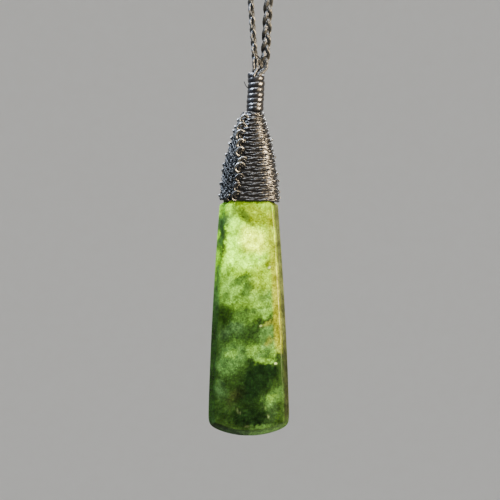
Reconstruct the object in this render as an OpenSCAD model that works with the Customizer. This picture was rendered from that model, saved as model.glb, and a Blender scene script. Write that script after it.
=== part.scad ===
// Greenstone drop pendant on a plaited cord loop, in millimetres.
// The stone's drilled tip is lashed into a hitched thread binding. A folded cord runs through the
// drilled hole and up the whipped neck, and a three-strand plait leaves the neck and makes the loop.
// The origin is the underside of the loop's top, where it hangs. +Z is up and the face looks along -Y.
// Heights are measured up from the stone's lowest point.

/* [Stone] */
// Length of the whole stone, with the tip that the binding hides
stone_length = 62.5; // [62:0.1:63]
// Half width that the sides start from at the lower end
stone_half_w = 8.2; // [7.8:0.1:8.6]
// Loss of half width for each millimetre of height
side_taper = 0.024; // [0.022:0.001:0.028]
// Extra loss of half width for each square millimetre, which bows the sides
side_bow = 0.0006; // [0.0005:0.0001:0.0007]
// Radius of the lower end's arc, seen from the front
lower_arc_r = 16.5; // [14:0.5:20]
// Half thickness of the narrow side wall
side_wall = 0.8; // [0.6:0.1:1]
// Rise of the bevel between the side wall and the face
bevel_rise = 1.3; // [1.1:0.1:1.5]
// Width of that bevel
bevel_w = 1.2; // [1:0.1:1.5]
// Rise of the polished face's dome over the bevel
dome_rise = 1.1; // [0.8:0.1:1.1]

/* [Drilled hole] */
// Distance from the tip down to the middle of the hole
hole_below_tip = 3.9; // [3.7:0.1:4.1]
// Radius of the hole
hole_r = 0.75; // [0.7:0.01:0.85]

/* [Binding] */
// Height of the binding's lower edge
binding_h = 46.8; // [46.6:0.1:47]
// Height from one course of doubled thread to the next
course_pitch = 1; // [0.98:0.01:1.02]
// Thickness of the wound wall
wall = 0.55; // [0.5:0.05:0.6]
// Depth of the groove between two courses
groove = 0.2; // [0.1:0.05:0.25]
// Number of knuckles in the hitched ridge
knuckles = 11; // [9:1:12]
// Height of the knuckles over the courses
knuckle_rise = 0.45; // [0.2:0.05:0.6]
// Slope of the courses, falling towards +X
course_slope = 0.03; // [0:0.01:0.04]

/* [Neck] */
// Distance of the neck's axis from the stone's axis
neck_x = 1.35; // [1.3:0.01:1.4]
// Turns of thread on the neck
neck_turns = 8; // [7:1:9]
// Height of one turn
turn_pitch = 0.94; // [0.9:0.01:1]
// Outer radius of the whipping
neck_r = 1.7; // [1.7:0.05:1.9]
// Thickness of the whipping
whipping = 0.55; // [0.5:0.01:0.55]

/* [Plait] */
// Diameter of one strand
strand_d = 0.52; // [0.5:0.01:0.55]
// Half width of the plait, at the middle of its outer strand
plait_half_w = 0.8; // [0.78:0.01:0.9]
// Half thickness of the plait, at the middle of its outer strand
plait_half_t = 0.44; // [0.42:0.01:0.48]
// Length of one strand's whole weave, from edge to edge and back
weave_length = 8.8; // [8.6:0.1:9.2]

/* [Hidden] */

stone_colour = "#5f8a2c";
thread_colour = "#23262a";
cord_colour = "#2d2f30";

function mix(a, b, t) = a * (1 - t) + b * t;
function ease(t) = let (u = min(max(t, 0), 1)) u * u * (3 - 2 * u);
function unit(v) = v / norm(v);

// A column of a table, looked up by the height in its first column
function at(table, column, h) = lookup(h, [for (row = table) [row[0], row[column]]]);

// Faces of a skin over rings of n points, closed by its flat ends or by joining them
function skin(rings, n, joined = false) = [
    for (i = [0 : rings - (joined ? 1 : 2)], j = [0 : n - 1])
        let (a = i * n + j, b = i * n + (j + 1) % n,
             c = (i + 1) % rings * n + (j + 1) % n, d = (i + 1) % rings * n + j)
            each [[a, c, b], [a, d, c]],
    if (!joined) [for (j = [0 : n - 1]) j],
    if (!joined) [for (j = [n - 1 : -1 : 0]) (rings - 1) * n + j]
];

// A round tube of radius r along a path that never runs along the direction across
module tube(path, r, sides, across) {
    last = len(path) - 1;
    points = [
        for (i = [0 : last])
            let (along = unit(path[min(i + 1, last)] - path[max(i - 1, 0)]),
                 u = unit(cross(along, across)), v = cross(u, along))
                for (j = [0 : sides - 1])
                    path[i] + r * (cos(360 * j / sides) * v + sin(360 * j / sides) * u)
    ];
    polyhedron(points, skin(last + 1, sides));
}

// Heights of the binding and the neck
courses = 18;
clearance = 0.15;
binding_height = courses * course_pitch;
neck_length = neck_turns * turn_pitch;
neck_h = binding_h + binding_height + clearance;
neck_top_h = neck_h + neck_length;

// Half width of the stone. A power mean rounds the lower corners, and a shoulder under the
// binding's edge leads to the blunt hidden tip.
corner_power = 10;
shoulder_h = 46;
shoulder_length = 0.7;
tip_half_w = 5.05;
tip_height = stone_length - binding_h + 1.3;
function body_half_w(h) =
    let (side = stone_half_w - side_taper * h - side_bow * h * h,
         arc = sqrt(max(2 * lower_arc_r * h - h * h, 0.0001)))
        h > lower_arc_r ? side : pow(pow(side, -corner_power) + pow(arc, -corner_power), -1 / corner_power);
function half_w(h) =
    h < binding_h ? mix(body_half_w(h), tip_half_w, ease((h - shoulder_h) / shoulder_length))
    : tip_half_w * pow(1 - pow((h - binding_h) / tip_height, 1.8), 0.75);

// Thickness along the stone, as a share of its full one
thickness = [
    // height, share
    [0, 0.95],
    [14, 1],
    [30, 0.96],
    [46, 0.86],
    [54, 0.68],
    [59, 0.5],
    [63, 0.36]
];

// Half thickness at a point of the face, from its distance to the nearest edge
bevel_power = 1.05;
function edge_distance(x, h) = min(
    half_w(h) - abs(x),
    h < lower_arc_r ? lower_arc_r - norm([x, lower_arc_r - h]) : stone_half_w
);
function half_t(x, h) =
    let (d = max(edge_distance(x, h), 0), b = 1 - min(d / bevel_w, 1), m = 1 - min(d / stone_half_w, 1))
        at(thickness, 1, h)
            * (side_wall + bevel_rise * pow(1 - pow(b, bevel_power), 1 / bevel_power) + dome_rise * (1 - m * m));

// Rings of the stone. The hidden tip's are shares of its length.
stone_rings = [
    for (h = [0.03, 0.25, 0.7, 1.3, 2, 2.9, 4.2, 7, 12, 18, 24, 30, 36, 41, 46, 46.35, 46.7]) h,
    for (share = [0.16, 0.32, 0.48, 0.63, 0.77, 0.89, 1]) mix(binding_h, stone_length, share)
];
function stone_ring(h) =
    let (w = half_w(h), bevel = min(bevel_w, 0.4 * w), flat = w - bevel,
         half = [w, w - 0.15 * bevel, w - 0.5 * bevel, flat, 0.6 * flat, 0.2 * flat],
         columns = [each half, for (i = [len(half) - 1 : -1 : 0]) -half[i]])
        [for (x = columns) [x, half_t(x, h), h],
         for (i = [len(columns) - 1 : -1 : 0]) [columns[i], -half_t(columns[i], h), h]];

// The binding's outline at each section of its wound wall
binding_shape = [
    // height over its lower edge, half width, half depth, squareness, shift along X, ridge's angle
    [0, 6.05, 3.55, 2.8, 0.15, 254],
    [4.2, 5.77, 3.6, 2.8, 0.22, 256],
    [8.2, 5.1, 3.62, 2.6, 0.27, 260],
    [12, 4.2, 3.6, 2.4, 0.55, 248],
    [14.4, 3.45, 3.4, 2.2, 0.6, 240],
    [16.6, 2.7, 2.9, 2, 0.75, 238],
    [18, 2.15, 2.15, 2, 0.9, 236]
];
binding_sides = 22;
inner_rings = 6;
function signed_power(value, power) = sign(value) * pow(abs(value), power);
function binding_ring(h, inset, rise) =
    let (s = h / binding_height * 18, w = at(binding_shape, 1, s) - inset, d = at(binding_shape, 2, s) - inset,
         power = 2 / at(binding_shape, 3, s), shift = at(binding_shape, 4, s), ridge = at(binding_shape, 5, s))
        [for (j = [0 : binding_sides - 1])
            let (a = ridge + 360 * j / binding_sides, out = j == 0 ? rise : 0,
                 x = shift + (w + out) * signed_power(cos(a), power))
                [x, (d + out) * signed_power(sin(a), power), h - course_slope * x]];
function knuckle(h) = knuckle_rise * pow(sin(180 * knuckles * h / binding_height), 2);

// Core cord, folded through the hole, up both faces of the tip and into the neck
core_r = 0.45;
core_leg = [
    // height over the hole's middle, distance from the stone's middle plane, share of the neck's offset
    [0, 1.5, 0],
    [0.1, 1.9, 0],
    [0.4, 2.2, 0],
    [0.8, 2.3, 0],
    [2, 2.1, 0.1],
    [3.9, 1.6, 0.5],
    [5.4, 0.9, 0.85],
    [6.3, 0.55, 1],
    [7.2, 0.5, 1],
    [12.2, 0.5, 1]
];

// Plait. Each run leaves the neck with its own lean, and joins the arc over the top.
arc_r = 17;
runs = 31;
arcs = 6;
steps_per_weave = 6;
run_length = runs * weave_length;
bore_depth = 1.5;
foot_spread = 0.75;
foot_shift = 0.95;
foot_lean = [-4.2, 3.2];
run_lean = asin((arc_r - foot_spread) / run_length);
top_z = plait_half_t + strand_d / 2;
arc_centre = [0, 0, top_z - arc_r];
foot_z = arc_centre[2] - arc_r * sin(run_lean) - run_length * cos(run_lean);
drop = neck_top_h - bore_depth - foot_z;

// The middle of one run, from its foot at t = 0 to the arc at t = 1. side is -1 on the left, 1 on the right.
handle = 80;
function direction(lean) = [sin(lean), 0, cos(lean)];
function run_point(side, t) =
    let (a = [neck_x + foot_shift + side * foot_spread, 0, foot_z],
         d = arc_centre + arc_r * [side * cos(run_lean), 0, -sin(run_lean)],
         b = a + handle * direction(foot_lean[side < 0 ? 0 : 1]),
         c = d - handle * direction(side * run_lean), s = 1 - t)
        s * s * s * a + 3 * s * s * t * b + 3 * s * t * t * c + t * t * t * d;

// The middle of the plait, up the left run, over the arc and down the right run
run_steps = runs * steps_per_weave;
arc_steps = arcs * steps_per_weave;
route_steps = 2 * run_steps + arc_steps;
function route(i) =
    i <= run_steps ? run_point(-1, i / run_steps)
    : i >= run_steps + arc_steps ? run_point(1, (route_steps - i) / run_steps)
    : let (a = 180 + run_lean - (i - run_steps) / arc_steps * (180 + 2 * run_lean))
        arc_centre + arc_r * [cos(a), 0, sin(a)];
function inwards(i) =
    let (along = unit(route(min(i + 1, route_steps)) - route(max(i - 1, 0)))) cross(along, [0, -1, 0]);

// The plait is edge-on to the front, and turns face-on where the right run comes down to the neck
turn_from = 120;
turn_to = 30;
function turned(i) =
    let (left = (route_steps - i) / steps_per_weave * weave_length)
        90 * ease((turn_from - left) / (turn_from - turn_to));

// Angles round the neck's axis at which the strands of the left and the right run enter it. The
// weave is held still for the first steps above the foot, where they fan out of the neck.
entry_r = 0.72;
entry_start = 2;
entry_length = 2.5;
entry_angles = [[240, 180, 120], [-60, 0, 60]];
held_steps = 3;
function strand_point(k, i) =
    let (left = i < route_steps / 2, from_foot = left ? i : route_steps - i,
         step = min(max(i, held_steps), route_steps - held_steps),
         weave = 30 + 360 / steps_per_weave * step + 120 * k, in = inwards(i), turn = turned(i),
         across = cos(turn) * [0, 1, 0] + sin(turn) * in, deep = cos(turn) * in - sin(turn) * [0, 1, 0],
         woven = route(i) + plait_half_w * sin(weave) * across
             + plait_half_t / sin(60) * sin(2 * weave) * deep,
         a = entry_angles[left ? 0 : 1][k],
         entry = [neck_x + entry_r * cos(a), entry_r * sin(a), woven[2]])
        mix(entry, woven, ease((from_foot / steps_per_weave * weave_length - entry_start) / entry_length));

module on_pendant() {
    translate([0, 0, -drop]) children();
}

module stone() {
    rings = [for (h = stone_rings) stone_ring(h)];
    color(stone_colour) on_pendant() difference() {
        polyhedron([for (ring = rings) each ring], skin(len(rings), len(rings[0])));
        translate([0, 0, stone_length - hole_below_tip])
            rotate([90, 0, 0])
                cylinder(h = 2 * stone_half_w, r = hole_r, center = true, $fn = 32);
    }
}

module binding() {
    outer = [for (i = [0 : 2 * courses])
        let (h = i * course_pitch / 2)
            binding_ring(h, i % 2 == 0 ? groove : 0, knuckle(h))];
    inner = [for (i = [inner_rings : -1 : 0]) binding_ring(i / inner_rings * binding_height, wall, 0)];
    rings = concat(outer, inner);
    color(thread_colour) on_pendant() translate([0, 0, binding_h])
        polyhedron([for (ring = rings) each ring], skin(len(rings), binding_sides, joined = true));
}

module neck_whipping() {
    inside = neck_r - whipping;
    outline = [for (turn = [0 : neck_turns - 1], a = [-60 : 30 : 60])
        [neck_r + whipping / 2 * (cos(a) - 1), turn_pitch * (turn + 0.5 + sin(a) / 2 / sin(60))]];
    color(thread_colour) on_pendant() translate([neck_x, 0, neck_h])
        rotate_extrude($fn = 48)
            polygon([[inside, 0], each outline, [inside, neck_length]]);
}

module core_cord() {
    leg = [for (row = core_leg) [neck_x * row[2], row[1], row[0]]];
    front = [for (i = [len(leg) - 1 : -1 : 0]) [leg[i][0], -leg[i][1], leg[i][2]]];
    color(cord_colour) on_pendant() translate([0, 0, stone_length - hole_below_tip])
        tube(concat(front, leg), core_r, 8, [1, 0, 0]);
}

module strand(k) {
    color(cord_colour)
        tube([for (i = [0 : route_steps]) strand_point(k, i)], strand_d / 2, 5, [0, 1, 0]);
}

stone();
binding();
neck_whipping();
core_cord();
strand(0);  // strand_1
strand(1);  // strand_2
strand(2);  // strand_3
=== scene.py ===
"""A greenstone drop, lashed in waxed thread and hung on a plaited cord loop.

Sizes are millimetres: x runs right of the stone's axis, y away from the front, and h up from the
stone's lowest point. in_frame() turns such a point into the frame's metres.
"""

import math
import random

import bpy
import numpy as np
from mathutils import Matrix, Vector, noise


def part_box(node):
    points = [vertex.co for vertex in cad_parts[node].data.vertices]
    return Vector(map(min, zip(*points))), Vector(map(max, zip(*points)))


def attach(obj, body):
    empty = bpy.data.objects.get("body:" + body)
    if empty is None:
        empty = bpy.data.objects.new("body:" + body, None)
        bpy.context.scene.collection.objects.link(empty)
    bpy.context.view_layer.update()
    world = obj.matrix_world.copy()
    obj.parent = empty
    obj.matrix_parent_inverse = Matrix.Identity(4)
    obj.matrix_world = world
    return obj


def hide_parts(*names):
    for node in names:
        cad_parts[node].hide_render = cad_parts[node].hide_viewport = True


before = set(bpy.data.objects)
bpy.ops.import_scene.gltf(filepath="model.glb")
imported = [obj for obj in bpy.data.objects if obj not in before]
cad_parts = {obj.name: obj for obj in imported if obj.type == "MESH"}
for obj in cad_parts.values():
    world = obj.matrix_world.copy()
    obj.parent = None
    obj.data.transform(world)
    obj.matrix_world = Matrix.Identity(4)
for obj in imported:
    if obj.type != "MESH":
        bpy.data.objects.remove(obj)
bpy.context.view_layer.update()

MM = 0.001
LOWEST_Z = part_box("stone")[0].z


def in_frame(point):
    """A point (x, y, h) in millimetres, as metres in the shared frame."""
    return (point[0] * MM, point[1] * MM, LOWEST_Z + point[2] * MM)


def mix(a, b, share):
    return a * (1 - share) + b * share


def ease(share):
    share = min(max(share, 0.0), 1.0)
    return share * share * (3 - 2 * share)


def lookup(table, column, at):
    """A column of a table, read off between its rows by the number in its first column."""
    return float(np.interp(at, [row[0] for row in table], [row[column] for row in table]))


# Camera, level with the pendant. It sees FRAME_WIDTH millimetres across, with the x and h of
# FRAME_CENTRE at its middle. SENSOR is in millimetres and CAMERA_DISTANCE in metres.

FRAME_WIDTH = 100.0
FRAME_CENTRE = (0.25, 37.1)
CAMERA_DISTANCE = 0.8
SENSOR = 36.0


def add_camera():
    data = bpy.data.cameras.new("camera")
    data.sensor_width = SENSOR
    data.lens = SENSOR * CAMERA_DISTANCE / (FRAME_WIDTH * MM)
    camera = bpy.data.objects.new("camera", data)
    bpy.context.scene.collection.objects.link(camera)
    aim = Vector(in_frame((FRAME_CENTRE[0], 0, FRAME_CENTRE[1])))
    camera.location = aim + Vector((0, -CAMERA_DISTANCE, 0))
    camera.rotation_euler = (math.radians(90), 0, 0)
    bpy.context.scene.camera = camera
    return aim


AIM = add_camera()


# Measures of the stone. Its sides lean in by SIDE_TAPER, and bow in more towards the top.

STONE_LENGTH = 62.5
STONE_HALF_W = 8.2
SIDE_TAPER = 0.024
SIDE_BOW = 0.0006
LOWER_ARC_R = 16.5
CORNER_POWER = 10
# The shoulder, just under the binding's lower edge, steps in to the tip
SHOULDER_H = 46.0
SHOULDER_LENGTH = 0.7
TIP_HALF_W = 5.05
TIP_BLUNT = 1.3
# Each half of the stone's thickness: a flat wall, a bevel and a low dome
SIDE_WALL = 0.8
BEVEL_RISE = 1.3
BEVEL_W = 1.2
BEVEL_POWER = 1.05
DOME_RISE = 1.1


# Materials

def linear(hex_colour):
    """An sRGB hex colour as linear RGBA."""
    channels = [int(hex_colour[i:i + 2], 16) / 255 for i in (1, 3, 5)]
    return tuple(c / 12.92 if c <= 0.04045 else ((c + 0.055) / 1.055) ** 2.4 for c in channels) + (1.0,)


def node(tree, kind, links=None, **settings):
    """Add one shader node. Links go into its inputs, settings to its inputs or else its properties."""
    made = tree.nodes.new(kind)
    for name, value in settings.items():
        if name in made.inputs.keys():
            made.inputs[name].default_value = value
        else:
            setattr(made, name, value)
    for name, source in (links or {}).items():
        tree.links.new(source, made.inputs[name])
    return made


def new_material(name):
    material = bpy.data.materials.new(name)
    material.use_nodes = True
    tree = material.node_tree
    tree.nodes.clear()
    shader = node(tree, "ShaderNodeBsdfPrincipled")
    output = node(tree, "ShaderNodeOutputMaterial")
    tree.links.new(shader.outputs["BSDF"], output.inputs["Surface"])
    return material, tree, shader


def set_inputs(shader, **values):
    for name, value in values.items():
        shader.inputs[name.replace("_", " ")].default_value = value


def mixed(tree, share, a, b):
    """Mix two colours, each a hex value or an output, by a share that is a number or an output."""
    made = node(tree, "ShaderNodeMix", data_type="RGBA")
    sockets = {"Factor": made.inputs[0], "A": made.inputs[6], "B": made.inputs[7]}
    for name, value in (("Factor", share), ("A", a), ("B", b)):
        if isinstance(value, str):
            sockets[name].default_value = linear(value)
        elif isinstance(value, (int, float)):
            sockets[name].default_value = value
        else:
            tree.links.new(value, sockets[name])
    return made.outputs[2]


def remap(tree, value, low, high, to_low, to_high, curve="LINEAR"):
    """Carry a value from one range to another, held at its ends."""
    made = node(tree, "ShaderNodeMapRange", {"Value": value}, interpolation_type=curve)
    for name, number in (("From Min", low), ("From Max", high), ("To Min", to_low), ("To Max", to_high)):
        made.inputs[name].default_value = number
    return made.outputs["Result"]


def product(tree, *values):
    """All the values multiplied together."""
    made = values[0]
    for value in values[1:]:
        made = node(tree, "ShaderNodeMath", {0: made, 1: value}, operation="MULTIPLY").outputs["Value"]
    return made


# Tones of the stone, from its clear dark body to its milky clouds
TONES = {
    "deep": "#061105",
    "ink": "#0c1904",
    "rust": "#141409",
    "husk": "#12170b",
    "moss": "#11200a",
    "forest": "#18290d",
    "bark": "#212716",
    "smoke": "#1f321a",
    "leaf": "#223813",
    "olive": "#3b4514",
    "fern": "#27401c",
    "sage": "#3e601e",
    "honey": "#4e560e",
    "lime": "#4c6300",
    "apple": "#5c8600",
    "milk": "#78b404",
    "cream": "#92b200",
    "fleck": "#7d9466",
}

# Clouds in the stone, laid one over another, with one band of painted shade: middle x and h, half
# length along the cloud and across it, its slope in degrees, softness of its edge, strength and tone
STONE_CLOUDS_AND_PAINTED_SHADE = [
    # x, h, along, across, slope, soft, strength, tone
    (0.0, 38.6, 12.6, 8.0, 90, 0.25, 1.00, "apple"),
    (0.0, 28.4, 7.0, 3.0, 0, 0.6, 0.85, "sage"),
    (2.8, 31.6, 4.0, 2.4, 60, 0.5, 0.60, "lime"),
    (-3.6, 43.4, 4.0, 1.8, 92, 0.5, 0.90, "sage"),
    (-4.2, 45.4, 1.4, 0.7, 80, 0.6, 0.80, "milk"),
    (-2.9, 42.2, 1.8, 0.8, 70, 0.6, 0.70, "milk"),
    (1.6, 43.8, 4.4, 1.9, -12, 0.5, 1.00, "lime"),
    (-0.9, 43.9, 2.2, 0.8, -42, 0.6, 0.75, "leaf"),
    # Painted shade: a dark band just under the binding's lower edge, where the binding shades the stone
    (0.3, 46.7, 3.0, 0.5, -4, 0.6, 0.85, "leaf"),
    (0.8, 39.0, 3.6, 2.3, -15, 0.6, 1.00, "cream"),
    (-3.2, 39.8, 2.2, 1.5, 80, 0.6, 0.85, "milk"),
    (4.2, 38.4, 5.0, 1.3, 94, 0.6, 0.60, "lime"),
    (-3.4, 35.4, 3.2, 1.6, 70, 0.6, 0.80, "milk"),
    (0.4, 35.2, 2.6, 1.3, 10, 0.6, 0.60, "milk"),
    (-4.8, 41.8, 2.5, 0.7, 84, 0.6, 0.95, "smoke"),
    (-5.3, 38.9, 3.6, 0.6, 88, 0.6, 0.95, "forest"),
    (4.1, 34.0, 1.2, 0.6, -40, 0.6, 0.60, "olive"),
    (-1.7, 31.0, 2.6, 0.8, 30, 0.5, 0.95, "leaf"),
    (-0.5, 29.2, 1.9, 1.1, 70, 0.5, 0.95, "leaf"),
    (-4.4, 28.0, 1.3, 0.9, 60, 0.6, 0.80, "leaf"),
    (-4.6, 31.6, 2.2, 1.2, 80, 0.6, 0.70, "sage"),
    (-2.9, 26.9, 1.7, 0.7, 10, 0.6, 0.80, "sage"),
    (1.8, 28.4, 1.8, 1.0, 40, 0.6, 0.60, "sage"),
    (3.6, 28.2, 1.7, 0.9, 20, 0.6, 0.75, "fern"),
    (3.0, 25.6, 2.0, 0.7, 30, 0.6, 0.80, "leaf"),
    (2.8, 24.5, 2.6, 0.8, 25, 0.6, 0.80, "sage"),
    (0.4, 24.6, 1.6, 0.9, 0, 0.6, 0.70, "fern"),
    (-4.6, 23.8, 2.1, 1.9, 0, 0.5, 1.00, "ink"),
    (-1.3, 23.8, 1.9, 1.4, 0, 0.5, 1.00, "leaf"),
    (-2.2, 21.7, 1.5, 1.2, 0, 0.6, 0.90, "smoke"),
    (-2.4, 20.4, 2.8, 1.3, 10, 0.6, 0.45, "moss"),
    (1.1, 21.4, 2.6, 1.4, 35, 0.5, 0.95, "moss"),
    (-4.6, 20.2, 1.2, 0.7, 30, 0.6, 0.80, "smoke"),
    (4.0, 20.9, 2.4, 1.4, 60, 0.6, 0.90, "fern"),
    (4.3, 22.9, 1.7, 0.6, 25, 0.6, 0.80, "olive"),
    (-1.8, 18.0, 3.2, 1.0, 5, 0.6, 0.95, "leaf"),
    (3.2, 17.2, 3.6, 1.7, 25, 0.5, 1.00, "fern"),
    (1.0, 17.2, 1.7, 1.0, 40, 0.6, 0.80, "sage"),
    (4.2, 18.9, 1.1, 0.6, 60, 0.6, 0.70, "olive"),
    (2.3, 16.7, 1.2, 0.5, 20, 0.6, 0.70, "leaf"),
    (5.0, 17.0, 1.6, 0.8, 60, 0.6, 0.75, "sage"),
    (2.4, 14.9, 2.2, 0.6, 0, 0.6, 0.80, "sage"),
    (-3.4, 15.2, 3.0, 2.3, 40, 0.5, 1.00, "fern"),
    (-3.6, 16.2, 1.4, 0.7, 10, 0.6, 0.70, "sage"),
    (1.0, 10.6, 4.2, 2.6, 55, 0.35, 1.00, "deep"),
    (3.6, 12.6, 2.2, 1.6, 0, 0.4, 1.00, "deep"),
    (0.4, 14.6, 1.1, 0.7, 80, 0.5, 0.90, "deep"),
    (-1.6, 11.2, 1.5, 1.0, 90, 0.6, 0.60, "moss"),
    (-5.4, 9.2, 1.8, 1.1, 90, 0.6, 0.80, "smoke"),
    (-2.9, 7.2, 2.4, 1.2, 60, 0.6, 0.60, "rust"),
    (0.8, 7.4, 3.4, 2.1, 25, 0.6, 0.70, "deep"),
    (4.8, 7.8, 2.6, 1.1, 50, 0.6, 0.95, "fern"),
    (4.7, 7.9, 1.2, 0.5, 50, 0.6, 0.80, "sage"),
    (4.4, 4.4, 2.6, 1.2, 80, 0.6, 0.80, "smoke"),
    (-3.6, 4.4, 3.4, 2.2, 0, 0.6, 0.60, "moss"),
    (0.2, 3.6, 4.2, 2.2, 0, 0.5, 0.95, "deep"),
    (3.0, 1.9, 2.4, 0.6, 12, 0.6, 0.80, "fern"),
]

# Small crystals and healed pits just under the polish, in the same columns
STONE_FLECKS = [
    (4.1, 33.6, 0.34, 0.2, 40, 0.6, 0.90, "fleck"),
    (2.2, 35.3, 0.22, 0.18, 0, 0.6, 0.60, "fleck"),
    (2.4, 22.0, 0.26, 0.2, 20, 0.6, 0.50, "fleck"),
    (5.4, 14.5, 0.26, 0.2, 0, 0.6, 0.80, "fleck"),
    (4.6, 14.7, 0.5, 0.18, 30, 0.6, 0.60, "sage"),
    (-2.2, 5.0, 0.2, 0.5, 10, 0.6, 0.09, "fleck"),
    (-1.7, 4.6, 0.16, 0.3, 0, 0.6, 0.07, "fleck"),
    (3.9, 3.9, 0.2, 0.4, 10, 0.6, 0.12, "fleck"),
    (3.3, 5.6, 0.16, 0.3, 0, 0.6, 0.09, "fleck"),
    (-0.4, 1.9, 0.5, 0.2, 6, 0.6, 0.08, "fleck"),
]

# Every cloud reaches straight through the stone, from the front to the back
CLOUD_DEPTH = 1000.0

# The felt of fibres in three sizes, and painted glints: sparks of light painted into the colour. The
# real fibres are too fine to show, so these are their bundles.
STONE_FELT_AND_GLINTS = [
    # size in mm, noise at its darkest and lightest, darkest and lightest share
    (2.2, 0.34, 0.66, 0.5, 1.1),
    (0.8, 0.34, 0.66, 0.7, 1.32),
    (0.34, 0.36, 0.64, 0.66, 1.34),
    # Painted glints: specks painted up to 2.1 times as bright
    (0.26, 0.6, 0.72, 1, 2.1),
]


def mm_in(distance):
    """A distance in from the stone's edge, as the V of its UV map."""
    return distance / STONE_HALF_W


def greenstone():
    """Nephrite, ground and polished: milky felted clouds deep in a clear dark green, under a soft gloss.

    The UV map runs from the left edge to the right one in U, and in from the nearest edge in V.
    """
    material, tree, shader = new_material("polished_nephrite")
    place = node(tree, "ShaderNodeTexCoord").outputs["Object"]
    local = node(tree, "ShaderNodeMapping", {"Vector": place}, Location=(0, 0, -LOWEST_Z / MM),
                 Scale=(1 / MM, 1 / MM, 1 / MM)).outputs["Vector"]

    # Clouds bend and fray: 3.6 mm swirls, and 0.8 mm tufts
    swirl = node(tree, "ShaderNodeTexNoise", {"Vector": local}, Scale=0.28, Detail=2.0, Roughness=0.5)
    tuft = node(tree, "ShaderNodeTexNoise", {"Vector": local}, Scale=1.2, Detail=4.0, Roughness=0.65)
    bent = local
    for source, reach in ((swirl, 2.2), (tuft, 2.4)):
        shift = node(tree, "ShaderNodeVectorMath", {0: source.outputs["Color"], 2: bent},
                     operation="MULTIPLY_ADD")
        shift.inputs[1].default_value = (reach, reach, reach)
        back = node(tree, "ShaderNodeVectorMath", {0: shift.outputs["Vector"]}, operation="SUBTRACT")
        back.inputs[1].default_value = (reach / 2, reach / 2, reach / 2)
        bent = back.outputs["Vector"]

    colour = mixed(tree, swirl.outputs["Fac"], TONES["moss"], TONES["forest"])
    marks = [(bent, row) for row in STONE_CLOUDS_AND_PAINTED_SHADE] + [(local, row) for row in STONE_FLECKS]
    for source, (x, h, along, across, slope, soft, strength, tone) in marks:
        near = node(tree, "ShaderNodeMapping", {"Vector": source}, vector_type="TEXTURE",
                    Location=(x, 0, h), Rotation=(0, -math.radians(slope), 0),
                    Scale=(along, CLOUD_DEPTH, across))
        distance = node(tree, "ShaderNodeVectorMath", {0: near.outputs["Vector"]}, operation="LENGTH")
        share = remap(tree, distance.outputs["Value"], 1 + soft, 1 - soft, 0, strength, "SMOOTHSTEP")
        colour = mixed(tree, share, colour, TONES[tone])

    # A honey band runs down inside the right edge: partly a rind in the stone, and partly painted warm light
    # from the right side
    edges = node(tree, "ShaderNodeSeparateXYZ", {"Vector": node(tree, "ShaderNodeUVMap").outputs["UV"]})
    from_left, inward = edges.outputs["X"], edges.outputs["Y"]
    height = node(tree, "ShaderNodeSeparateXYZ", {"Vector": bent}).outputs["Z"]
    on_right = remap(tree, from_left, 0.5, 0.56, 0, 1)
    rind_and_warm_light = product(tree, on_right, remap(tree, inward, mm_in(2.8), mm_in(1.9), 0, 1, "SMOOTHSTEP"),
                   remap(tree, height, 15.5, 18.5, 0, 1, "SMOOTHSTEP"),
                   remap(tree, height, 46, 30, 0.35, 0.9))
    colour = mixed(tree, rind_and_warm_light, colour, TONES["honey"])

    # The bevel and the side wall are painted in dark tones: partly the clear dark body, and partly painted
    # shade, since the side lamps light them more than the face
    left_facet = mixed(tree, remap(tree, height, 22, 31, 0, 1), TONES["ink"], TONES["forest"])
    right_facet = mixed(tree, remap(tree, height, 16, 21, 0, 1), TONES["husk"], TONES["bark"])
    facet = mixed(tree, on_right, left_facet, right_facet)
    # Towards the lower end the bevel is painted lighter, as painted light, since it faces down, away from the
    # lamps
    facet = mixed(tree, remap(tree, height, 4, 0.6, 0, 1), facet, TONES["fern"])
    # The dark body and its painted shade come in over the left bevel, patchily in the upper half, and more
    # quickly elsewhere
    patches = mixed(tree, remap(tree, height, 27, 33, 0, 1), "#ffffff",
                    remap(tree, swirl.outputs["Fac"], 0.42, 0.58, 0.3, 1))
    left_share = product(tree, patches,
                         remap(tree, inward, mm_in(1.9), mm_in(0.6), 0, 0.97, "SMOOTHSTEP"))
    other_share = remap(tree, inward, mm_in(1.3), mm_in(0.6), 0, 0.97, "SMOOTHSTEP")
    side_share = mixed(tree, remap(tree, from_left, 0.4, 0.3, 0, 1), other_share, left_share)
    colour = mixed(tree, side_share, colour, facet)

    for size, low, high, dark, light in STONE_FELT_AND_GLINTS:
        felt = node(tree, "ShaderNodeTexNoise", {"Vector": local}, Scale=1 / size, Detail=2.0, Roughness=0.6)
        share = remap(tree, felt.outputs["Fac"], low, high, dark, light)
        scaled = node(tree, "ShaderNodeVectorMath", {0: colour, "Scale": share}, operation="SCALE")
        colour = scaled.outputs["Vector"]

    tree.links.new(colour, shader.inputs["Base Color"])
    set_inputs(shader, IOR=1.62, Roughness=0.14, Specular_IOR_Level=0.045, Subsurface_Weight=0.4,
               Subsurface_Radius=(0.8, 1.0, 0.4), Subsurface_Scale=0.0014)
    dimple = node(tree, "ShaderNodeBump", {"Height": tuft.outputs["Fac"]}, Strength=0.12, Distance=0.00005)
    tree.links.new(dimple.outputs["Normal"], shader.inputs["Normal"])
    return material


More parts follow.
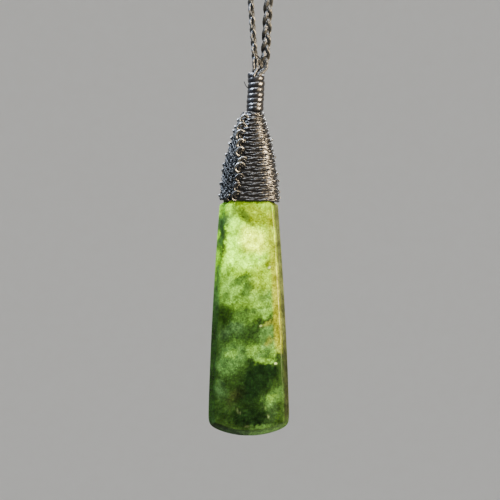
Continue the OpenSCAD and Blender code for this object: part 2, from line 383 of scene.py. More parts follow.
def waxed_fibre(name, dark, light, plies, ply_length, roughness, gloss):
    """Twisted polyester, drawn through wax: near black, with a broad sheen and a bright edge on each ply.

    The UV map runs once round the thread in U, and in millimetres along it in V.
    """
    material, tree, shader = new_material(name)
    uv = node(tree, "ShaderNodeUVMap").outputs["UV"]
    skewed = node(tree, "ShaderNodeVectorMath", {0: uv}, operation="DOT_PRODUCT")
    skewed.inputs[1].default_value = (plies, plies / ply_length, 0)
    turned = node(tree, "ShaderNodeMath", {0: skewed.outputs["Value"]}, operation="MULTIPLY")
    turned.inputs[1].default_value = 2 * math.pi
    ply = node(tree, "ShaderNodeMath", {0: turned.outputs["Value"]}, operation="COSINE")
    # Wax lies in patches of 1.1 mm. Real fuzz, 0.02 mm wide, is too fine to show, so it is drawn 0.24.
    place = node(tree, "ShaderNodeTexCoord").outputs["Object"]
    wax = node(tree, "ShaderNodeTexNoise", {"Vector": place}, Scale=900.0, Detail=4.0, Roughness=0.6)
    fuzz = node(tree, "ShaderNodeTexNoise", {"Vector": place}, Scale=4200.0, Detail=2.0, Roughness=0.7)
    tree.links.new(mixed(tree, remap(tree, wax.outputs["Fac"], 0.35, 0.65, 0, 1), dark, light),
                   shader.inputs["Base Color"])
    tree.links.new(remap(tree, fuzz.outputs["Fac"], 0, 1, roughness - 0.1, roughness + 0.14),
                   shader.inputs["Roughness"])
    set_inputs(shader, IOR=1.5, Specular_IOR_Level=gloss)
    low = node(tree, "ShaderNodeBump", {"Height": ply.outputs["Value"]}, Strength=0.4, Distance=0.00003)
    high = node(tree, "ShaderNodeBump", {"Height": fuzz.outputs["Fac"], "Normal": low.outputs["Normal"]},
                Strength=0.5, Distance=0.000012)
    tree.links.new(high.outputs["Normal"], shader.inputs["Normal"])
    return material


def painted_floor():
    """Matt emulsion paint, rolled: pale and even, with a faint stipple.

    A roller's real stipple, 1 to 2 mm, is too fine to show, so it is drawn 17 mm wide.
    """
    material, tree, shader = new_material("matt_emulsion_paint")
    place = node(tree, "ShaderNodeTexCoord").outputs["Object"]
    stipple = node(tree, "ShaderNodeTexNoise", {"Vector": place}, Scale=60.0, Detail=3.0)
    tree.links.new(mixed(tree, stipple.outputs["Fac"], "#eceae6", "#f0efec"), shader.inputs["Base Color"])
    set_inputs(shader, Roughness=0.9, Specular_IOR_Level=0.1)
    return material


NEPHRITE = greenstone()
# The binding's and the neck's thread keeps most of its wax: near black, with a clear sheen on each turn
THREAD = waxed_fibre("waxed_polyester_thread", "#030304", "#0c0d0f", 3, 2.1, 0.28, 0.27)
# The crossed threads have lost most of their wax, so they look dull, and their blue black is painted darker,
# as painted shade
DULL_SHADED_THREAD = waxed_fibre("worn_polyester_thread_painted_shade", "#020303", "#090c0e", 3, 2.1, 0.4, 0.13)
# The upper hitches and the nubs get a lighter and glossier copy of the thread, as a painted highlight
HIGHLIGHT_PAINTED_THREAD = waxed_fibre("waxed_polyester_thread_painted_highlight", "#0a0b0b", "#222321", 3, 2.1, 0.27, 0.66)
# The plait's cord is softer, so it looks a little paler, with a broader sheen
CORD = waxed_fibre("waxed_plaiting_cord", "#080909", "#181918", 3, 2.3, 0.34, 0.34)


# Meshes

def add_piece(name, vertices, faces, material, uvs):
    """A smooth mesh from points in millimetres. uvs has one pair for each corner of each face."""
    mesh = bpy.data.meshes.new(name)
    mesh.from_pydata([in_frame(point) for point in vertices], [], faces)
    mesh.polygons.foreach_set("use_smooth", [True] * len(mesh.polygons))
    layer = mesh.uv_layers.new(name="along_thread")
    layer.data.foreach_set("uv", np.asarray(uvs, dtype=np.float32).ravel())
    mesh.materials.append(material)
    piece = bpy.data.objects.new(name, mesh)
    bpy.context.scene.collection.objects.link(piece)
    return piece


def smooth_route(points, step):
    """A rounded curve through given points, with a point about every step."""
    points = [np.array(point, dtype=float) for point in points]
    padded = [2 * points[0] - points[1]] + points + [2 * points[-1] - points[-2]]
    route = []
    for i in range(1, len(padded) - 2):
        before, start, end, after = padded[i - 1:i + 3]
        count = max(2, int(np.linalg.norm(end - start) / step) + 1)
        for k in range(count):
            t = k / count
            route.append(0.5 * (2 * start + (end - before) * t
                                + (2 * before - 5 * start + 4 * end - after) * t * t
                                + (3 * start - before - 3 * end + after) * t ** 3))
    route.append(points[-1])
    return route


def frames_along(route, across=None):
    """Two directions square to a route at each point, the first as near to across as it gets, and the
    length made so far. Without across, the directions follow the route and don't twist."""
    ahead = np.gradient(route, axis=0)
    ahead /= np.linalg.norm(ahead, axis=1)[:, None]
    length = np.concatenate([[0], np.cumsum(np.linalg.norm(np.diff(route, axis=0), axis=1))])
    if across is None:
        toward = np.empty_like(route)
        side = np.array((0.31, 0.83, 0.46))
        for i, step in enumerate(ahead):
            side = side - side.dot(step) * step
            side /= np.linalg.norm(side)
            toward[i] = side
    else:
        toward = np.broadcast_to(np.array(across, dtype=float), route.shape)
    u = toward - (toward * ahead).sum(axis=1)[:, None] * ahead
    u /= np.linalg.norm(u, axis=1)[:, None]
    return u, np.cross(ahead, u), length


class Threads:
    """Round threads gathered into one mesh, with plies that can stand out of each thread."""

    def __init__(self):
        self.vertices, self.faces, self.uvs = [], [], []

    def add(self, route, radius, sides=8, flat=1.0, across=None, plies=0, ply_depth=0.0, ply_length=1.0):
        """Sweep a ring along the route. flat scales the ring along the direction across."""
        route = np.array(route)
        u, v, length = frames_along(route, across)
        first, rings = len(self.vertices), len(route)
        angles = 2 * math.pi * np.arange(sides) / sides
        turns = 2 * math.pi * plies / ply_length * length[:, None]
        reach = radius * (1 + ply_depth * np.cos(plies * angles + turns))
        points = (route[:, None] + (flat * reach * np.cos(angles))[:, :, None] * u[:, None]
                  + (reach * np.sin(angles))[:, :, None] * v[:, None])
        self.vertices += list(points.reshape(-1, 3))
        for i in range(rings - 1):
            for j in range(sides):
                k = (j + 1) % sides
                a, b = first + i * sides + j, first + i * sides + k
                self.faces.append((a, b, b + sides, a + sides))
                u0, u1 = j / sides, (j + 1) / sides
                self.uvs += [(u0, length[i]), (u1, length[i]), (u1, length[i + 1]), (u0, length[i + 1])]
        for ring, turn in ((0, -1), (rings - 1, 1)):
            corners = [first + ring * sides + j for j in range(sides)][::turn]
            self.faces.append(tuple(corners))
            self.uvs += [(0.5, length[ring])] * sides

    def piece(self, name, material):
        return add_piece(name, self.vertices, self.faces, material, self.uvs)


# Stone

# The hole through the hidden tip, and the binding's lower edge
HOLE_H = 58.6
HOLE_R = 0.75
DRILL_REACH = 4
BINDING_H = 46.8

THICKNESS = [
    # height, share of the full thickness
    (0, 0.95),
    (14, 1),
    (30, 0.96),
    (46, 0.86),
    (54, 0.68),
    (59, 0.5),
    (63, 0.36),
]


def body_half_w(h):
    side = STONE_HALF_W - SIDE_TAPER * h - SIDE_BOW * h * h
    if h > LOWER_ARC_R:
        return side
    arc = math.sqrt(max(2 * LOWER_ARC_R * h - h * h, 0.0001))
    return (side ** -CORNER_POWER + arc ** -CORNER_POWER) ** (-1 / CORNER_POWER)


def half_w(h):
    if h < BINDING_H:
        return mix(body_half_w(h), TIP_HALF_W, ease((h - SHOULDER_H) / SHOULDER_LENGTH))
    rise = (h - BINDING_H) / (STONE_LENGTH - BINDING_H + TIP_BLUNT)
    return TIP_HALF_W * (1 - rise ** 1.8) ** 0.75


def edge_distance(x, h):
    edge = half_w(h) - abs(x)
    if h < LOWER_ARC_R:
        edge = min(edge, LOWER_ARC_R - math.hypot(x, LOWER_ARC_R - h))
    return max(edge, 0.0)


def half_t(x, h):
    edge = edge_distance(x, h)
    inner = 1 - min(edge / BEVEL_W, 1)
    middle = 1 - min(edge / STONE_HALF_W, 1)
    bevel = BEVEL_RISE * (1 - inner ** BEVEL_POWER) ** (1 / BEVEL_POWER)
    return lookup(THICKNESS, 1, h) * (SIDE_WALL + bevel + DOME_RISE * (1 - middle * middle))


def polished_y(x, h, side):
    """One face of the stone, with the slight waves that hand polishing leaves."""
    wave = 0.05 * noise.noise((0.16 * x, side * 3.0, 0.16 * h)) * min(edge_distance(x, h) / 3, 1)
    return side * (half_t(x, h) + wave)


def drilled(piece):
    """Cut the hole for the core cord through the stone's hidden tip."""
    drill = Threads()
    drill.add([(0, -DRILL_REACH, HOLE_H), (0, DRILL_REACH, HOLE_H)], HOLE_R, sides=32)
    tool = drill.piece("drill", NEPHRITE)
    cut = piece.modifiers.new("hole", "BOOLEAN")
    cut.operation = "DIFFERENCE"
    cut.object = tool
    evaluated = piece.evaluated_get(bpy.context.evaluated_depsgraph_get())
    mesh = bpy.data.meshes.new_from_object(evaluated)
    piece.modifiers.clear()
    piece.data = mesh
    bpy.data.objects.remove(tool)
    return piece


# Distances in from the stone's edge at which its mesh has a row or a column, close at the bevel
EDGE_STEPS = [0.0, 0.03, 0.08, 0.16, 0.3, 0.5, 0.75, 0.96, 1.08, 1.15, 1.2, 1.26, 1.38, 1.65]


def add_stone():
    # Rows lie close together at the lower end and at the shoulder
    heights = [0.02 + d for d in EDGE_STEPS[:6]]
    heights += list(np.arange(0.62, 5.2, 0.11)) + list(np.linspace(5.2, 46.0, 84))
    heights += list(np.linspace(46.08, 46.8, 8)) + list(np.linspace(47.2, STONE_LENGTH - 0.02, 36))
    vertices, faces = [], []
    for h in heights:
        w = half_w(h)
        # The bevel's columns draw together in the narrow tip
        scale = min(w / 4, 1)
        half = [w - scale * d for d in EDGE_STEPS]
        half += [half[-1] * share for share in np.linspace(1, 0, 15)[1:-1]]
        columns = half + [0.0] + [-x for x in reversed(half)]
        wall = 0.9 * half_t(w, h)
        vertices += [(x, polished_y(x, h, 1), h) for x in columns] + [(-w, wall, h), (-w, -wall, h)]
        vertices += [(x, polished_y(x, h, -1), h) for x in reversed(columns)] + [(w, -wall, h), (w, wall, h)]
    n = 2 * len(columns) + 4
    for i in range(len(heights) - 1):
        for j in range(n):
            k = (j + 1) % n
            faces.append((i * n + j, i * n + k, (i + 1) * n + k, (i + 1) * n + j))
    faces.append(tuple(reversed(range(n))))
    faces.append(tuple(range(len(vertices) - n, len(vertices))))
    flat = [(0.5 + 0.5 * x / half_w(h), edge_distance(x, h) / STONE_HALF_W)
            for face in faces for x, y, h in [vertices[i] for i in face]]
    piece = drilled(add_piece("greenstone_drop", vertices, faces, NEPHRITE, flat))
    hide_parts("stone")
    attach(piece, "root")


# Binding

COURSES = 18
COURSE_PITCH = 1.0
COURSE_SLOPE = 0.03
BINDING_HEIGHT = COURSES * COURSE_PITCH
THREAD_R = 0.22
# Degrees round the wall: 270 is the middle of the front. The courses end a little past its left edge.
LEFT_EDGE = 180
COURSE_END = 360 + LEFT_EDGE + 4
COURSE_POINTS = 190
CROSSED_R = 0.18

BINDING_SHAPE = [
    # height over its lower edge, half width, half depth, squareness, shift along X, ridge's angle
    (0, 6.05, 3.55, 2.8, 0.15, 254),
    (4.2, 5.77, 3.6, 2.8, 0.22, 256),
    (8.2, 5.1, 3.62, 2.6, 0.27, 260),
    (12, 4.2, 3.6, 2.4, 0.55, 248),
    (14.4, 3.45, 3.4, 2.2, 0.6, 240),
    (16.6, 2.7, 2.9, 2, 0.75, 238),
    (18, 2.15, 2.15, 2, 0.9, 236),
]


def signed_power(value, power):
    return math.copysign(abs(value) ** power, value)


def on_binding(h, angle, inset):
    """A point of the wound wall, inset from its outside, at a height over its lower edge."""
    h = min(max(h, 0.0), BINDING_HEIGHT)
    a = math.radians(angle)
    power = 2 / lookup(BINDING_SHAPE, 3, h)
    x = lookup(BINDING_SHAPE, 4, h) + (lookup(BINDING_SHAPE, 1, h) - inset) * signed_power(math.cos(a), power)
    y = (lookup(BINDING_SHAPE, 2, h) - inset) * signed_power(math.sin(a), power)
    return np.array((x, y, BINDING_H + h - COURSE_SLOPE * x))


def ridge_angle(h):
    return lookup(BINDING_SHAPE, 5, h)


def right_of_ridge(h, gap):
    """The angle where the wall is gap millimetres to the right of the ridge."""
    ridge = ridge_angle(h)
    angle = ridge
    while np.linalg.norm(on_binding(h, angle, 0) - on_binding(h, ridge, 0)) < gap:
        angle += 0.5
    return angle


def wound_courses(threads, chance):
    """Doubled thread, loosely twisted, wound from the ridge round the right and the back to the left."""
    twist_length, spread, swing = 2.4, 0.16, 0.09
    for i in range(COURSES):
        middle = COURSE_PITCH * (i + 0.5)
        start = right_of_ridge(middle, 0.15)
        phase = chance.uniform(0, 6)
        for side in (-1, 1):
            route, run, last = [], 0.0, on_binding(middle, start, 0)
            for a in np.linspace(start, COURSE_END, COURSE_POINTS):
                past = math.radians(a - start)
                here = on_binding(middle, a, 0)
                run += np.linalg.norm(here - last)
                last = here
                turn = 2 * math.pi * run / twist_length + phase
                # The course comes out from behind the ridge, so it starts higher and deeper
                lift = side * (spread + swing * math.cos(turn)) + 0.2 * math.exp(-past / 0.12)
                sway = 0.14 * noise.noise((run * 0.6, phase, i * 1.7))
                sink = 0.8 * side * swing * math.sin(turn) + 0.15 * math.exp(-past / 0.1)
                route.append(on_binding(middle + lift + sway, a, THREAD_R + 0.05 + sink))
            threads.add(route, THREAD_R, sides=8, across=(0, 0, 1), plies=3, ply_depth=0.07, ply_length=2.1)


def crossed_threads(threads, chance):
    """Thread that slants both ways over the front's left side, from the ridge to the left edge."""
    reach, pitch = 4.4, 0.76
    for rising, inset in ((-1, 0.36), (1, 0.22)):
        for first in np.arange(0.5 - reach * (rising > 0), BINDING_HEIGHT + reach * (rising < 0), pitch):
            route = []
            start, steep = first + chance.uniform(-0.18, 0.18), reach * chance.uniform(0.85, 1.15)
            for t in np.linspace(0, 1, 30):
                h = start + rising * steep * t + 0.25 * math.sin(math.pi * t)
                if 0.25 <= h <= BINDING_HEIGHT - 0.25:
                    a = mix(ridge_angle(h) - 4, LEFT_EDGE - 6, t)
                    over = 0.08 * math.cos(2 * math.pi * (h / pitch + t))
                    route.append(on_binding(h, a, inset + rising * over + chance.uniform(-0.02, 0.02)))
            if len(route) > 5:
                threads.add(smooth_route(route[::2], 0.2), CROSSED_R, sides=8, plies=3, ply_depth=0.13,
                            ply_length=2.1)


def wall_frame(h, angle):
    """A point on the outside of the wall, with the directions to its right, up it and out of it."""
    centre = on_binding(h, angle, 0.0)
    right = on_binding(h, angle + 2, 0.0) - centre
    right /= np.linalg.norm(right)
    up = on_binding(h + 0.5, angle, 0.0) - centre
    up -= up.dot(right) * right
    up /= np.linalg.norm(up)
    return centre, right, up, np.cross(right, up)


# One hitch: steps right, up and out from its middle. It comes out of a course on the right, arches
# over to the left and tucks in behind the next hitch down, with a second turn inside it.
HITCH = [
    (0.5, 0.25, -0.7),
    (0.36, 0.46, -0.42),
    (0.12, 0.64, -0.02),
    (-0.22, 0.7, 0.28),
    (-0.65, 0.45, 0.32),
    (-1.0, 0.0, 0.22),
    (-1.12, -0.5, 0.1),
    (-0.8, -0.95, -0.1),
    (-0.3, -1.0, -0.4),
]
INNER_TURN = [
    (0.34, -0.1, -0.6),
    (0.18, 0.12, -0.34),
    (-0.04, 0.22, -0.1),
    (-0.36, 0.1, 0.0),
    (-0.54, -0.22, -0.04),
    (-0.5, -0.6, -0.2),
]
HITCH_HEIGHTS = [1.2, 3.0, 4.7, 6.8, 8.1, 10.0, 11.6, 13.3, 14.8, 16.4]
HITCH_R = 0.245
INNER_TURN_R = 0.17
# The hitches above this height are in the thread painted lighter, as a painted highlight
PAINTED_HIGHLIGHT_FROM = 6.0
# A smaller one beside the lowest: height, angle, size, radius of its thread and tilt
SMALL_HITCH = (0.75, 238, 0.6, 0.24, 10)

# A nub: a turn of thread that stands out at the edge of the front
NUB = [(0, -0.42, -0.4), (0.02, -0.2, 0.05), (-0.02, 0.18, 0.08), (0, 0.4, -0.4)]
LEFT_NUBS = [1.0, 3.4, 6.1, 7.2, 9.2, 11.4, 12.6, 14.0, 14.8, 16.2]
LEFT_NUB_R = 0.19
RIGHT_NUBS = [1.0, 2.1, 4.3, 5.7, 9.0, 12.5]
RIGHT_NUB_R = 0.13


def knotted(threads, steps, h, angle, size, radius, tilt=0.0, tall=1.0):
    """Lay a thread on the wall along steps from a point, scaled by size and tall, and tilted."""
    centre, right, up, out = wall_frame(h, angle)
    turn = math.radians(tilt)
    right, up = math.cos(turn) * right + math.sin(turn) * up, math.cos(turn) * up - math.sin(turn) * right
    route = [centre + size * (x * right + tall * y * up) + z * out for x, y, z in steps]
    threads.add(smooth_route(route, 0.12), radius, sides=9, plies=3, ply_depth=0.1, ply_length=1.9)


def knots(threads, inner, chance):
    """The ridge of hitches and the nubs. The lower hitches and the inner turns go with the courses."""
    for h in HITCH_HEIGHTS:
        angle, size = ridge_angle(h) + chance.uniform(-2, 2), chance.uniform(0.86, 1.08)
        tilt, tall = chance.uniform(-18, 12), chance.uniform(0.92, 1.15)
        knotted(threads if h > PAINTED_HIGHLIGHT_FROM else inner, HITCH, h, angle, size, HITCH_R, tilt, tall)
        knotted(inner, INNER_TURN, h, angle, size, INNER_TURN_R, tilt, tall)
    knotted(inner, HITCH, *SMALL_HITCH)
    for h in LEFT_NUBS:
        knotted(threads, NUB, h, LEFT_EDGE + chance.uniform(3, 11), chance.uniform(0.7, 1.0), LEFT_NUB_R)
    for h in RIGHT_NUBS:
        knotted(threads, NUB, h, 360 + chance.uniform(-6, 4), chance.uniform(0.5, 0.7), RIGHT_NUB_R)


def add_binding():
    chance = random.Random(4)
    wound, crossed, hitched = Threads(), Threads(), Threads()
    wound_courses(wound, chance)
    crossed_threads(crossed, chance)
    knots(hitched, wound, chance)
    pieces = [wound.piece("waxed_thread_binding", THREAD), crossed.piece("crossed_threads", DULL_SHADED_THREAD),
              hitched.piece("hitched_ridge", HIGHLIGHT_PAINTED_THREAD)]
    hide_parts("binding")
    for piece in pieces:
        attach(piece, "root")


def add_under_wrap():
    """The first layer of the binding, which shows only in the gaps between its threads."""
    sides, rings = 64, 40
    outside, inside = 0.38, 0.55
    vertices = []
    for inset, order in ((outside, range(rings + 1)), (inside, reversed(range(rings + 1)))):
        for i in order:
            h = 0.1 + (BINDING_HEIGHT - 0.2) * i / rings
            vertices += [on_binding(h, 360 * j / sides, inset) for j in range(sides)]
    total = 2 * (rings + 1)
    faces = [(i * sides + j, i * sides + (j + 1) % sides,
              (i + 1) % total * sides + (j + 1) % sides, (i + 1) % total * sides + j)
             for i in range(total) for j in range(sides)]
    uvs = [(u / sides, v * 0.4) for v in range(total) for j in range(sides)
           for u, v in ((j, v), (j + 1, v), (j + 1, v + 1), (j, v + 1))]
    piece = add_piece("under_wrap", vertices, faces, THREAD, uvs)
    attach(piece, "root")


# Neck

NECK_X = 1.35
NECK_H = BINDING_H + BINDING_HEIGHT + 0.15
NECK_HEIGHT = 7.52
NECK_R = 1.7
NECK_TOP_H = NECK_H + NECK_HEIGHT
# Its thread is flattened against the cords inside, and starts at this angle in radians
WRAP_START = 2.4
WRAP_HALF_H = 0.6
WRAP_HALF_T = 0.3
POINTS_PER_TURN = 40
# A level turn, under the others, closes the gap over the binding
LEVEL_TURN_R = 1.3
LEVEL_TURN_H = NECK_H + 0.2
LEVEL_TURN_HALF_H = 0.45

NECK_WRAP = [
    # turns made, height over the neck's foot, half height of the turn, lean of the neck along X
    (0, 0.12, 0.5, -0.1),
    (1, 0.74, 0.5, -0.1),
    (2, 1.72, 0.52, -0.08),
    (3, 2.68, 0.54, 0),
    (4, 3.66, 0.56, 0.05),
    (5, 4.76, 0.62, 0.12),
    (6, 5.9, 0.62, 0.14),
    (7, 6.92, 0.56, 0.1),
    (7.35, 6.96, 0.48, 0.05),
]

# The cut end of the thread, which stands out to the left of the neck: x, y, h
THREAD_END = [(0.1, -0.3, 69.2), (-0.25, -0.5, 69.55), (-0.6, -0.55, 70.0), (-0.95, -0.55, 70.75)]
THREAD_END_R = 0.08


def add_neck():
    """Turns of thread that lie close on the neck, one above the other."""
    threads = Threads()
    route, across = [], []
    for i in range(int(NECK_WRAP[-1][0] * POINTS_PER_TURN) + 1):
        turns = i / POINTS_PER_TURN
        a = 2 * math.pi * turns + WRAP_START
        # A taller turn stands out a little more
        half = lookup(NECK_WRAP, 2, turns)
        r = NECK_R - WRAP_HALF_T + 0.09 * noise.noise((turns * 2.3, 3.1, 0.4)) + 0.12 * (half - 0.45)
        climb = lookup(NECK_WRAP, 1, turns) + 0.08 * noise.noise((turns * 1.9, 7.7, 2.4))
        middle = NECK_X + lookup(NECK_WRAP, 3, turns)
        route.append((middle + r * math.cos(a), r * math.sin(a), NECK_H + climb))
        across.append((math.cos(a), math.sin(a), 0))
    threads.add(route, WRAP_HALF_H, sides=20, flat=WRAP_HALF_T / WRAP_HALF_H, across=across, plies=5,
                ply_depth=0.09, ply_length=3.1)
    angles = [2 * math.pi * i / POINTS_PER_TURN for i in range(POINTS_PER_TURN + 1)]
    middle = NECK_X + NECK_WRAP[0][3]
    level = [(middle + LEVEL_TURN_R * math.cos(a), LEVEL_TURN_R * math.sin(a), LEVEL_TURN_H) for a in angles]
    threads.add(level, LEVEL_TURN_HALF_H, sides=14, flat=WRAP_HALF_T / LEVEL_TURN_HALF_H,
                across=[(math.cos(a), math.sin(a), 0) for a in angles])
    threads.add(smooth_route(THREAD_END, 0.1), THREAD_END_R, sides=6)
    piece = threads.piece("neck_turns", THREAD)
    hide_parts("neck_whipping")
    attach(piece, "root")


# Plait. Its middle goes up the left run, over an arc and down the right run. The sides are -1 for the
# left and 1 for the right.

# One strand, and its yarns, which twist once round it every YARN_TWIST
STRAND_HALF_W = 0.39
STRAND_HALF_T = 0.29
YARNS = 7
YARN_R = 0.12
YARN_TWIST = 4.6
# How far a strand's middle swings across the plait and through it, and the length of one whole weave
PLAIT_HALF_W = 0.6
PLAIT_HALF_T = 0.32
WEAVE_LENGTH = 8.8
ARC_R = 17.0
# Weaves in each run and in the arc, and steps in each weave
RUNS = 31
ARCS = 6
STEPS = 6
RUN_STEPS = RUNS * STEPS
ARC_STEPS = ARCS * STEPS
ROUTE_STEPS = 2 * RUN_STEPS + ARC_STEPS
RUN_LENGTH = RUNS * WEAVE_LENGTH
# The runs start inside the neck and leave it at FOOT_LEAN degrees. HANDLE sets how slowly they bend.
BORE_DEPTH = 1.5
FOOT_SPREAD = 0.75
FOOT_SHIFT = 0.95
FOOT_LEAN = {-1: -4.2, 1: 3.2}
HANDLE = 80.0
# The right run turns from edge-on to face-on between these two lengths from its foot
TURN_FROM = 120.0
TURN_TO = 30.0
# The weave is held for its last steps at each foot. There the strands spread out, within ENTRY_LENGTH
# and down to ENTRY_START from the foot, to ENTRY_ANGLES round the neck's middle.
HELD_STEPS = 3
ENTRY_R = 0.72
ENTRY_START = 1.0
ENTRY_LENGTH = 2.1
ENTRY_ANGLES = {-1: (240, 180, 120), 1: (-60, 0, 60)}
FOOT_H = NECK_TOP_H - BORE_DEPTH
# Loose yarns in the fork, and stray fibres all round the loop
FORK_YARNS = 20
STRAY_FIBRES = 1500
FIBRE_R = 0.024

RUN_LEAN = math.asin((ARC_R - FOOT_SPREAD) / RUN_LENGTH)
ARC_CENTRE = np.array((0, 0, FOOT_H + RUN_LENGTH * math.cos(RUN_LEAN) + ARC_R * math.sin(RUN_LEAN)))


def direction(degrees):
    return np.array((math.sin(math.radians(degrees)), 0, math.cos(math.radians(degrees))))


def run_point(side, t):
    """The middle of one run, from its foot at t = 0 to the arc at t = 1."""
    lean = math.degrees(RUN_LEAN)
    a = np.array((NECK_X + FOOT_SHIFT + side * FOOT_SPREAD, 0, FOOT_H))
    d = ARC_CENTRE + ARC_R * np.array((side * math.cos(RUN_LEAN), 0, -math.sin(RUN_LEAN)))
    b = a + HANDLE * direction(FOOT_LEAN[side])
    c = d - HANDLE * direction(side * lean)
    s = 1 - t
    return s ** 3 * a + 3 * s * s * t * b + 3 * s * t * t * c + t ** 3 * d


def plait_middle(i):
    """The middle of the plait after i steps, up the left run, over the arc and down the right run."""
    if i <= RUN_STEPS:
        return run_point(-1, i / RUN_STEPS)
    if i >= RUN_STEPS + ARC_STEPS:
        return run_point(1, (ROUTE_STEPS - i) / RUN_STEPS)
    a = math.pi + RUN_LEAN - (i - RUN_STEPS) / ARC_STEPS * (math.pi + 2 * RUN_LEAN)
    return ARC_CENTRE + ARC_R * np.array((math.cos(a), 0, math.sin(a)))


def plait_frame(i):
    """The directions across the plait and through it. The plait is edge-on to the front, and turns
    face-on where the right run comes down to the neck."""
    ahead = plait_middle(min(i + 0.5, ROUTE_STEPS)) - plait_middle(max(i - 0.5, 0))
    inward = np.cross(ahead / np.linalg.norm(ahead), (0, -1, 0))
    left = (ROUTE_STEPS - i) / STEPS * WEAVE_LENGTH
    turn = math.radians(90 * ease((TURN_FROM - left) / (TURN_FROM - TURN_TO)))
    depth = np.array((0, 1, 0))
    return (math.cos(turn) * depth + math.sin(turn) * inward,
            math.cos(turn) * inward - math.sin(turn) * depth)


def strand_point(k, i):
    side = -1 if i < ROUTE_STEPS / 2 else 1
    from_foot = (i if side < 0 else ROUTE_STEPS - i) / STEPS * WEAVE_LENGTH
    across, deep = plait_frame(i)
    step = min(max(i, HELD_STEPS), ROUTE_STEPS - HELD_STEPS)
    weave = math.radians(30 + 360 / STEPS * step + 120 * k)
    woven = (plait_middle(i) + PLAIT_HALF_W * math.sin(weave) * across
             + PLAIT_HALF_T / math.sin(math.radians(60)) * math.sin(2 * weave) * deep)
    a = math.radians(ENTRY_ANGLES[side][k])
    entry = np.array((NECK_X + ENTRY_R * math.cos(a), ENTRY_R * math.sin(a), woven[2]))
    share = ease((from_foot - ENTRY_START) / ENTRY_LENGTH)
    return mix(entry, woven, share)


def add_strand(k):
    """One strand of the plait, loosely twisted from yarns, all the way round the loop."""
    threads = Threads()
    between = 5
    steps = [i / between for i in range(ROUTE_STEPS * between + 1)]
    route = np.array([strand_point(k, i) for i in steps])
    u, v, length = frames_along(route, [plait_frame(i)[0] for i in steps])
    for yarn in range(YARNS):
        turn = 2 * math.pi * (length / YARN_TWIST + yarn / YARNS)
        stray = np.array([0.05 * noise.noise((run * 0.9, yarn * 3.7, k * 5.1)) for run in length])
        wide = (STRAND_HALF_W - YARN_R + stray) * np.cos(turn)
        deep = (STRAND_HALF_T - YARN_R + stray) * np.sin(turn)
        threads.add(route + wide[:, None] * u + deep[:, None] * v, YARN_R, sides=5, across=(0.1, 1, 0))
    name = f"strand_{k + 1}"
    piece = threads.piece(f"plaited_{name}", CORD)
    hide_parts(name)
    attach(piece, "root")


def fork_yarns(threads, chance):
    """Loose yarns that cross in the fork above the neck, where the two runs part."""
    for _ in range(FORK_YARNS):
        side = chance.choice((-1, 1))
        start = run_point(side, chance.uniform(0.005, 0.018))
        end = run_point(-side, chance.uniform(0.013, 0.029))
        middle = mix(start, end, 0.5) + np.array((chance.uniform(-0.2, 0.2), chance.uniform(-0.45, 0.3), 0))
        threads.add(smooth_route([start, middle, end], 0.2), chance.uniform(0.07, 0.11), sides=6)


def add_stray_fibres():
    """Short fibres that stand off the plait, and the loose yarns in its fork."""
    chance = random.Random(9)
    threads = Threads()
    for _ in range(STRAY_FIBRES):
        k, i = chance.randrange(3), chance.uniform(HELD_STEPS, ROUTE_STEPS - HELD_STEPS)
        start = strand_point(k, i)
        ahead = strand_point(k, i + 0.2) - start
        ahead *= chance.choice((-1, 1)) / np.linalg.norm(ahead)
        out = np.array([chance.gauss(0, 1) for _ in range(3)])
        out -= out.dot(ahead) * ahead
        out /= np.linalg.norm(out)
        start = start + (STRAND_HALF_T - 0.05) * out
        reach = chance.uniform(0.25, 0.75)
        bend, tip = 0.25 * out + 0.4 * ahead, 0.6 * out + 0.7 * ahead
        threads.add([start, start + reach * bend, start + reach * tip], FIBRE_R, sides=3)
    fork_yarns(threads, chance)
    piece = threads.piece("stray_fibres", CORD)
    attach(piece, "root")


# Setting, in metres: a wide pale floor that sweeps up all round, and soft lights

FLOOR_DROP = 1.0
FLOOR_R = 3.5
SWEEP_R = 2.0
WALL_RISE = 1.5


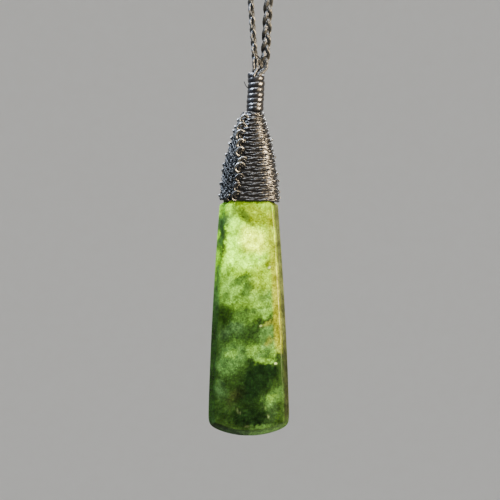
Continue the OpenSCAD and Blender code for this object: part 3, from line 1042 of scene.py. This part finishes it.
def add_floor():
    sides = 96
    profile = [(0.0, 0.0)] + [(FLOOR_R * t, 0.0) for t in (0.25, 0.5, 0.75, 1.0)]
    profile += [(FLOOR_R + SWEEP_R * math.sin(a), SWEEP_R * (1 - math.cos(a)))
                for a in np.linspace(0.1, math.pi / 2, 14)]
    profile.append((FLOOR_R + SWEEP_R, SWEEP_R + WALL_RISE))
    vertices = [(0, 0, LOWEST_Z - FLOOR_DROP)]
    for r, z in profile[1:]:
        vertices += [(r * math.cos(2 * math.pi * j / sides), r * math.sin(2 * math.pi * j / sides),
                      LOWEST_Z - FLOOR_DROP + z) for j in range(sides)]
    faces = [(0, 1 + j, 1 + (j + 1) % sides) for j in range(sides)]
    for i in range(len(profile) - 2):
        for j in range(sides):
            a, b = 1 + i * sides + j, 1 + i * sides + (j + 1) % sides
            faces.append((a, a + sides, b + sides, b))
    mesh = bpy.data.meshes.new("floor")
    mesh.from_pydata(vertices, [], faces)
    mesh.polygons.foreach_set("use_smooth", [True] * len(mesh.polygons))
    mesh.materials.append(painted_floor())
    floor = bpy.data.objects.new("floor", mesh)
    bpy.context.scene.collection.objects.link(floor)


LIGHTS = [
    # name, degrees round from the front and up, distance and size in metres, power in watts, colour
    ("left_cool", -80, 45, 0.60, 0.30, 8.5, "#d8e6fb"),
    ("right_warm", 62, 10, 0.60, 0.24, 11.0, "#ffe4bb"),
    ("top_fill", 0, 62, 0.80, 0.36, 4.0, "#ffffff"),
    ("back_fill", 180, 40, 0.80, 0.50, 4.0, "#ffffff"),
]
LIGHT_SPREAD = 75


def add_lights():
    for name, round_to, up, distance, size, power, colour in LIGHTS:
        data = bpy.data.lights.new(name, "AREA")
        data.size = size
        data.energy = power
        data.spread = math.radians(LIGHT_SPREAD)
        data.color = linear(colour)[:3]
        light = bpy.data.objects.new(name, data)
        turn, rise = math.radians(round_to), math.radians(up)
        offset = distance * Vector((math.sin(turn) * math.cos(rise), -math.cos(turn) * math.cos(rise),
                                    math.sin(rise)))
        light.location = AIM + offset
        light.rotation_euler = offset.to_track_quat("Z", "Y").to_euler()
        bpy.context.scene.collection.objects.link(light)
    world = bpy.data.worlds.new("soft_daylight")
    world.use_nodes = True
    background = world.node_tree.nodes["Background"]
    background.inputs["Color"].default_value = linear("#eceef0")
    background.inputs["Strength"].default_value = 0.75
    bpy.context.scene.world = world


add_stone()
add_binding()
add_under_wrap()
add_neck()
for strand in range(3):
    add_strand(strand)
add_stray_fibres()
# The cord inside the binding and the neck keeps its solid, in the plait's material
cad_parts["core_cord"].data.materials.clear()
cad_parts["core_cord"].data.materials.append(CORD)
add_floor()
add_lights()
